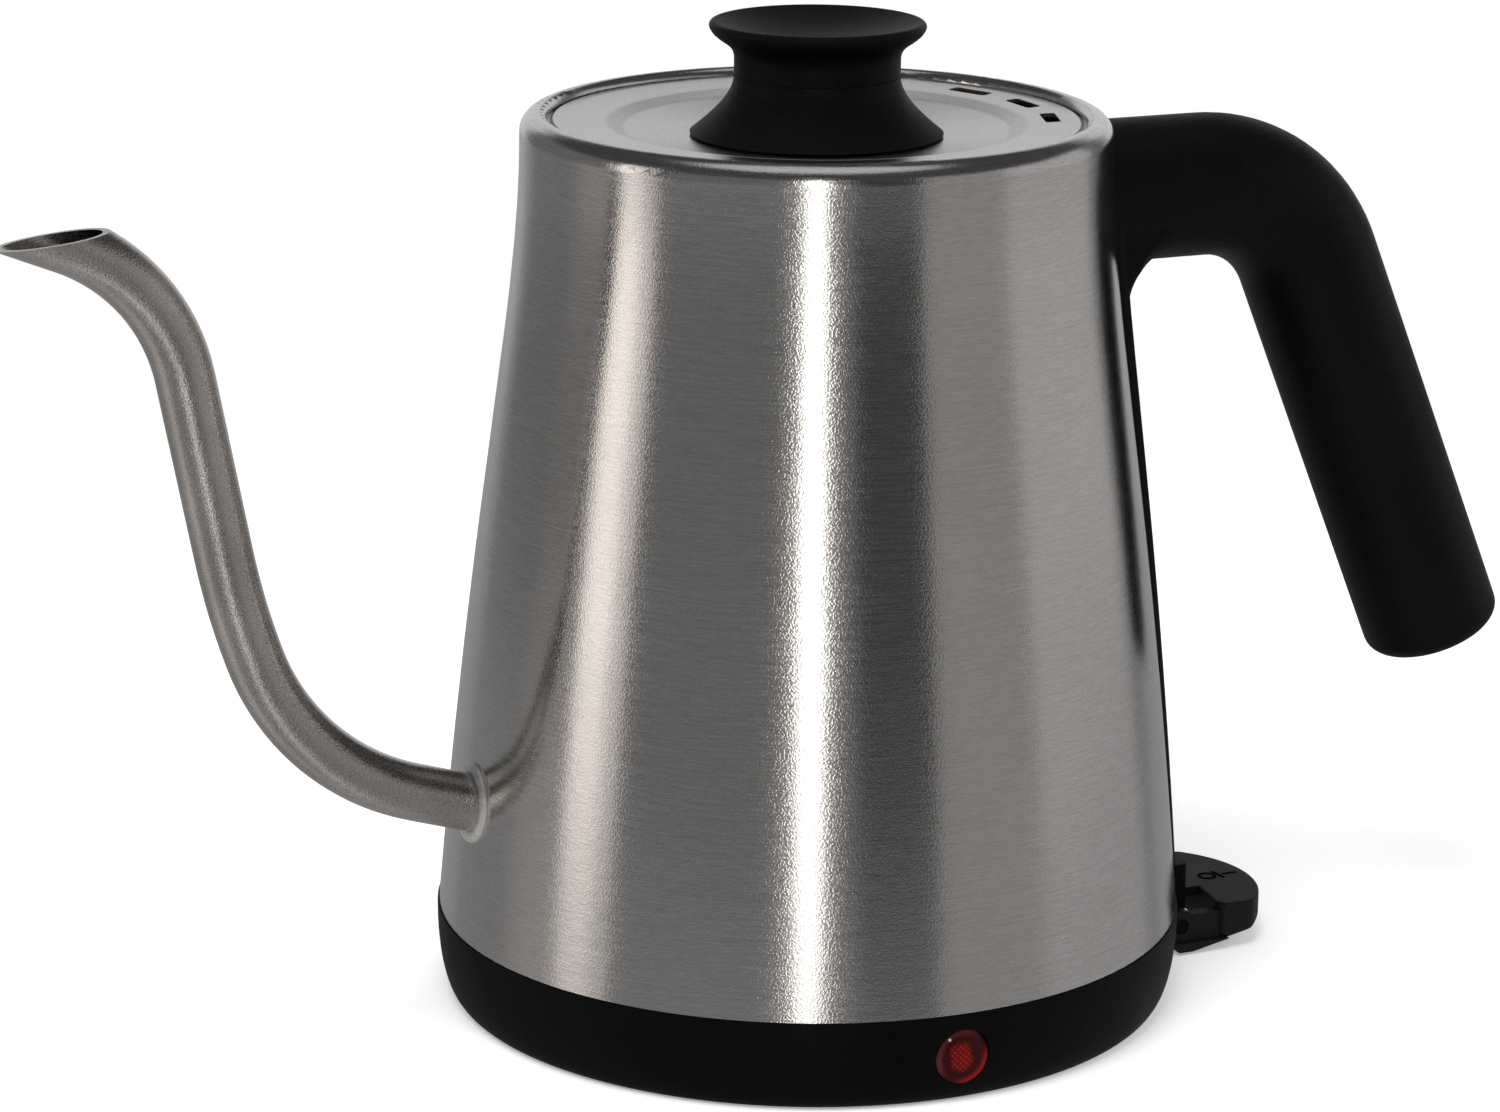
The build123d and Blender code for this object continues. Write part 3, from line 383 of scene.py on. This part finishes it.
cream_low = colour(0.55, 0.53, 0.48)
cream_high = colour(0.66, 0.64, 0.60)
soft_black = moulded(grey(0.0004), grey(0.0030), rough=0.44, grain_size=0.35 * mm, depth=0.04 * mm)
base_black = moulded(grey(0.0006), grey(0.0024), rough=0.44, grain_size=0.3 * mm, depth=0.015 * mm)
lever_grey = moulded(grey(0.0045), grey(0.008), rough=0.46, grain_size=0.3 * mm, depth=0.015 * mm)
mark_black = moulded(grey(0.0003), grey(0.0008), rough=0.7, grain_size=0.3 * mm, depth=0.01 * mm)
cream = moulded(cream_low, cream_high, rough=0.5, grain_size=0.5 * mm, depth=0.01 * mm)

finishes = {
    "brushed_body_steel": make_finish(
        "brushed_body_steel", brushed_body, Metallic=1.0, Anisotropic=0.7, Anisotropic_Rotation=0.25
    ),
    "spout_steel": make_finish("satin_spout_steel", satin_spout, Metallic=1.0),
    "lid_steel": make_finish("satin_lid_steel", satin_lid),
    "inner_steel": make_finish("plain_inner_steel", plain_steel, Metallic=1.0),
    "soft_black_plastic": make_finish("soft_black_moulding", soft_black, Specular_IOR_Level=0.15),
    "base_black_plastic": make_finish("base_black_moulding", base_black, Specular_IOR_Level=0.09),
    "lever_plastic": make_finish("lever_moulding", lever_grey, Specular_IOR_Level=0.24),
    "red_lens": make_finish(
        "red_indicator_lens",
        red_lens,
        Emission_Strength=1.0,
        Specular_IOR_Level=0.12,
        Coat_Weight=0.05,
    ),
    "lamp_glass": make_finish("lamp_glass", soft_skin(colour(0.8, 0.3, 0.15), colour(0.95, 0.5, 0.3))),
    "heater_aluminium": make_finish(
        "heater_aluminium", worked_metal(grey(0.62), grey(0.78), 0.35), Metallic=1.0
    ),
    "element_sheath": make_finish(
        "element_sheath",
        worked_metal(colour(0.25, 0.22, 0.20), colour(0.42, 0.39, 0.36), 0.35),
        Metallic=1.0,
    ),
    "control_plastic": make_finish("control_moulding", cream),
    "contact_brass": make_finish(
        "contact_brass", worked_metal(colour(0.62, 0.44, 0.18), colour(0.80, 0.62, 0.30), 0.25), Metallic=1.0
    ),
    "spring_metal": make_finish(
        "snap_disc_metal", worked_metal(colour(0.5, 0.47, 0.42), colour(0.64, 0.6, 0.54), 0.25), Metallic=1.0
    ),
    "silicone": make_finish("silicone_seal", soft_skin(grey(0.62), grey(0.74))),
    "duct_plastic": make_finish("duct_moulding", cream),
    "wire_sleeve": make_finish("wire_sleeve", soft_skin(colour(0.5, 0.48, 0.42), colour(0.62, 0.6, 0.55))),
    "fastener_steel": make_finish("fastener_steel", worked_metal(grey(0.45), grey(0.6), 0.25), Metallic=1.0),
}


def dress(piece, slot):
    """Gives a piece the finish of one of the record's material slots."""
    piece.data.materials.clear()
    piece.data.materials.append(finishes[slot])


# Shapes


def make_mesh(name, points, faces):
    """Smooth object from an array of points and a list of faces."""
    mesh = bpy.data.meshes.new(name)
    mesh.from_pydata(points.tolist(), [], faces)
    mesh.validate()
    mesh.shade_smooth()
    piece = bpy.data.objects.new(name, mesh)
    scene.collection.objects.link(piece)
    return piece


def grid_faces(rows, columns, loop=False):
    """Quads of a grid of points stored row by row, each row closed on itself, and the rows too in a loop."""
    row = np.arange(rows if loop else rows - 1)[:, None]
    column = np.arange(columns)[None, :]
    next_row = (row + 1) % rows
    next_column = (column + 1) % columns
    corners = (
        row * columns + column,
        row * columns + next_column,
        next_row * columns + next_column,
        next_row * columns + column,
    )
    return np.stack(np.broadcast_arrays(*corners), -1).reshape(-1, 4)


def capped_faces(rows, columns):
    """Faces of a closed skin: the first point is one pole, then the grid of rows, then the other pole."""
    column = np.arange(columns)
    following = (column + 1) % columns
    last = rows * columns + 1
    first_fan = np.stack([np.zeros_like(column), following + 1, column + 1], -1)
    end_row = last - columns
    last_fan = np.stack([np.full_like(column, last), column + end_row, following + end_row], -1)
    return (grid_faces(rows, columns) + 1).tolist() + first_fan.tolist() + last_fan.tolist()


def angles(count):
    return np.linspace(0, 2 * pi, count, endpoint=False)


# Pieces


def wall_radius(z):
    """Radius of the steel wall at height z, on the cubic curve of its outline."""
    t = np.linspace(0, 1, wall_samples)[:, None]
    weights = np.concatenate([(1 - t) ** 3, 3 * t * (1 - t) ** 2, 3 * t**2 * (1 - t), t**3], 1)
    curve = weights @ wall_outline
    return np.interp(z, curve[:, 1], curve[:, 0])


def add_weld_bead():
    """Weld round the spout's root.

    One angle turns about the root's axis and the other round the bead's oval section. Each point is
    slid along the axis until it lies on the wall, then lifted by the section's height, with ripples.
    """
    turn = angles(bead_steps)[:, None]
    section = angles(bead_sides)[None, :]
    radius = bead_radius + bead_half_width * np.cos(section) + 0 * turn
    ripple = bead_ripple_height * np.cos(bead_ripples * turn) * np.sin(section)
    height = bead_lift + bead_half_height * np.sin(section) + ripple
    axis = np.array([-cos(root_heading), 0, sin(root_heading)])
    side = np.array([0, 1, 0])
    upward = np.array([sin(root_heading), 0, cos(root_heading)])
    spoke = np.cos(turn)[..., None] * side + np.sin(turn)[..., None] * upward
    flat = root_at + radius[..., None] * spoke
    slide = np.zeros_like(radius)
    for _ in range(bead_rounds):
        point = flat + slide[..., None] * axis
        slide += wall_radius(point[..., 2]) - np.hypot(point[..., 0], point[..., 1])
    points = flat + (slide + height)[..., None] * axis
    faces = grid_faces(bead_steps, bead_sides, loop=True).tolist()
    bead = make_mesh("weld_bead", points.reshape(-1, 3), faces)
    bead.data.materials.append(make_finish("weld_bead_steel", pale_weld, Metallic=1.0))
    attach(bead, "kettle")
    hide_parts("spout_collar")


def ring_ridge(middle_x, radius):
    """Raised ring on the lever: one angle round the ring, the other round its oval section."""
    turn = angles(ring_steps)[:, None]
    section = angles(mark_sides)[None, :]
    reach = radius + mark_half_width * np.cos(section)
    height = mark_top_z - mark_height * np.sin(section) + 0 * turn
    points = np.stack([middle_x + reach * np.cos(turn), reach * np.sin(turn), height], -1)
    return points.reshape(-1, 3), grid_faces(ring_steps, mark_sides, loop=True).tolist()


def bar_ridge(start, end):
    """Raised bar on the lever: a flattened ball, cut across its middle and drawn out from start to end."""
    start, end = np.array(start), np.array(end)
    along = (end - start) / np.hypot(*(end - start))
    across = np.array([-along[1], along[0]])
    tilt = np.linspace(0, pi, bar_rows + 2)[1:-1, None]
    turn = angles(mark_sides)[None, :]
    far = np.where(tilt < pi / 2, 1.0, 0.0)[..., None]
    flat = far * end + (1 - far) * start + mark_half_width * np.cos(tilt)[..., None] * along
    flat = flat + mark_half_width * (np.sin(tilt) * np.cos(turn))[..., None] * across
    height = mark_top_z - mark_height * np.sin(tilt) * np.sin(turn)
    grid = np.concatenate([flat, height[..., None]], -1).reshape(-1, 3)
    first = np.append(end + mark_half_width * along, mark_top_z)
    last = np.append(start - mark_half_width * along, mark_top_z)
    return np.vstack([first, grid, last]), capped_faces(bar_rows, mark_sides)


def add_lever_marks():
    """Off ring, slash and on bar, raised on the lever."""
    finish = make_finish("lever_mark_black", mark_black, Specular_IOR_Level=0.02)
    shapes = {
        "off_ring_mark": ring_ridge(*off_ring),
        "slash_mark": bar_ridge(*slash),
        "on_bar_mark": bar_ridge(*on_bar),
    }
    for name, (points, faces) in shapes.items():
        mark = make_mesh(name, points, faces)
        mark.data.materials.append(finish)
        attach(mark, "lever")


for part in frame["record"]["subparts"]:
    dress(nodes[part["node"]], part["material_slot"])
dress(nodes["lever_pin"], "base_black_plastic")  # blackened, so it hides in the lever
add_weld_bead()
add_lever_marks()


# Studio


def card_mask(sheet, across, bearing, half, soft):
    """1 within half a card's width of its bearing, easing to 0 over its soft edge."""
    toward = across["X"] * cos(radians(bearing)) + across["Y"] * sin(radians(bearing))
    return sheet.ease(toward, cos(radians(half + soft)), cos(radians(max(half - soft, 0))))


def light_world():
    """White to the camera, a studio room with cards to what mirrors it, plain fill light to the rest."""
    world = bpy.data.worlds.new("studio")
    world.use_nodes = True
    scene.world = world
    sheet = Sheet(world.node_tree)
    direction = sheet.node("ShaderNodeTexCoord", output="Generated")
    x, y, z = (sheet.axis(direction, name) for name in "XYZ")
    spread = (x * x + y * y) ** 0.5
    across = {"X": x / spread, "Y": y / spread}
    seen = grey(room_level)
    low = sheet.ease(z, low_start, low_end)
    for name, (bearing, half, soft, shine) in studio_cards.items():
        mask = card_mask(sheet, across, bearing, half, soft)
        seen = sheet.tint(seen, colour(*shine), low * mask if name in low_cards else mask)
    for start, end, level, cover in (dark_upper, overhead, table):
        seen = sheet.tint(seen, grey(level), cover * sheet.ease(z, start, end))
    mirror_ray = sheet.node("ShaderNodeLightPath", output="Is Glossy Ray")
    room = sheet.tint(grey(fill_level), seen, mirror_ray)
    camera_ray = sheet.node("ShaderNodeLightPath", output="Is Camera Ray")
    through_ray = sheet.node("ShaderNodeLightPath", output="Is Transmission Ray")
    white = camera_ray.math("MAXIMUM", camera_ray, through_ray)
    shown = sheet.tint(room, grey(1.0), white)
    background = sheet.node("ShaderNodeBackground", sockets={"Color": shown, "Strength": 1.0})
    sheet.node("ShaderNodeOutputWorld", sockets={"Surface": background})


def make_floor():
    """Pale disc that keeps the shadow, open from below; what mirrors it sees the world's ground instead."""
    turn = angles(floor_corners)
    rim = np.stack([floor_radius * np.cos(turn), floor_radius * np.sin(turn), 0 * turn - floor_sink], -1)
    floor = make_mesh("floor", rim, [list(range(floor_corners))])
    material = bpy.data.materials.new("pale_floor")
    material.use_nodes = True
    sheet = Sheet(material.node_tree)
    pale = sheet.node("ShaderNodeBsdfDiffuse", sockets={"Color": grey(floor_tone)})
    glow = sheet.node("ShaderNodeEmission", sockets={"Strength": floor_glow})
    glowing = sheet.node("ShaderNodeAddShader", sockets={0: pale, 1: glow})
    camera_ray = sheet.node("ShaderNodeLightPath", output="Is Camera Ray")
    lit = sheet.node("ShaderNodeMixShader", sockets={0: camera_ray, 1: pale, 2: glowing})
    below = sheet.node("ShaderNodeNewGeometry", output="Backfacing")
    clear = sheet.node("ShaderNodeBsdfTransparent")
    surface = sheet.node("ShaderNodeMixShader", sockets={0: below, 1: lit, 2: clear})
    sheet.node("ShaderNodeOutputMaterial", sockets={"Surface": surface})
    floor.data.materials.append(material)
    floor.visible_glossy = False


def add_soft_box(name, at, size, power):
    """Square lamp at a place, turned to the kettle."""
    lamp = bpy.data.lights.new(name, "AREA")
    lamp.size = size
    lamp.energy = power
    holder = bpy.data.objects.new(name, lamp)
    holder.location = at
    holder.visible_glossy = False
    holder.rotation_mode = "QUATERNION"
    holder.rotation_quaternion = (soft_box_aim - at).to_track_quat("-Z", "Y")
    scene.collection.objects.link(holder)


def set_camera():
    """Camera of the picture."""
    data = bpy.data.cameras.new("camera")
    data.lens = camera_lens
    data.sensor_width = camera_sensor
    data.clip_start = camera_near
    camera = bpy.data.objects.new("camera", data)
    camera.location = camera_at
    camera.rotation_mode = "QUATERNION"
    roll = Quaternion((0, 0, 1), camera_roll)
    camera.rotation_quaternion = camera_look.to_track_quat("-Z", "Y") @ roll
    scene.collection.objects.link(camera)
    scene.camera = camera


light_world()
make_floor()
for name, (at, size, power) in soft_boxes.items():
    add_soft_box(name, at, size, power)
set_camera()
scene.view_settings.view_transform = "Standard"
